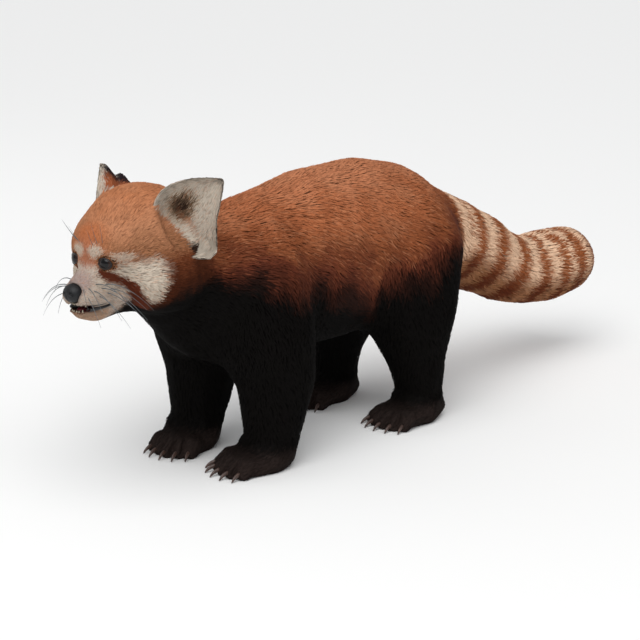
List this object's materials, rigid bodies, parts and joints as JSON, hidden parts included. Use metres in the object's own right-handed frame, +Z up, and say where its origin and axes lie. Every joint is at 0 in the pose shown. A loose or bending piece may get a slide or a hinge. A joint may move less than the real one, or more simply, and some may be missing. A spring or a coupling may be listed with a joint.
{
  "type": "red panda standing, life-size animal model",
  "caption": "Red panda standing on four feet: ringed bushy tail held out behind, pointed pale ears, masked face with a short muzzle, dark legs and clawed feet.",
  "frame": {"origin": "on the floor under the middle of the animal's bounding box, seen from above", "axes": "-Y the way the animal faces, +X its left side, +Z up from the floor it stands on"},
  "size_m": [0.1916, 0.8211, 0.3045],
  "materials": {
    "red_coat": "dense soft fur, rufous",
    "black_coat": "dense soft fur, black-brown",
    "pale_coat": "short soft fur, cream white",
    "ringed_coat": "long bushy fur in tan and rufous rings",
    "nose_skin": "bare skin, softly glossy",
    "eye": "wet, dark brown",
    "tongue": "wet skin",
    "claw": "horn, semi-matt"
  },
  "bodies": {
    "root": {"left_foreleg": "black_coat", "left_forefoot": "black_coat", "left_fore_claw_1": "claw", "left_fore_claw_2": "claw", "left_fore_claw_3": "claw", "left_fore_claw_4": "claw", "left_fore_claw_5": "claw", "left_hindleg": "black_coat", "left_hindfoot": "black_coat", "left_hind_claw_1": "claw", "left_hind_claw_2": "claw", "left_hind_claw_3": "claw", "left_hind_claw_4": "claw", "left_hind_claw_5": "claw", "left_eye": "eye", "left_ear": "pale_coat", "right_foreleg": "black_coat", "right_forefoot": "black_coat", "right_fore_claw_1": "claw", "right_fore_claw_2": "claw", "right_fore_claw_3": "claw", "right_fore_claw_4": "claw", "right_fore_claw_5": "claw", "right_hindleg": "black_coat", "right_hindfoot": "black_coat", "right_hind_claw_1": "claw", "right_hind_claw_2": "claw", "right_hind_claw_3": "claw", "right_hind_claw_4": "claw", "right_hind_claw_5": "claw", "right_eye": "eye", "right_ear": "pale_coat", "head": "red_coat", "lower_jaw": "pale_coat", "nose": "nose_skin", "tongue": "tongue", "neck": "red_coat", "trunk": "red_coat", "tail_root": "ringed_coat", "tail_middle": "ringed_coat", "tail_end": "ringed_coat"}
  },
  "joints": []
}
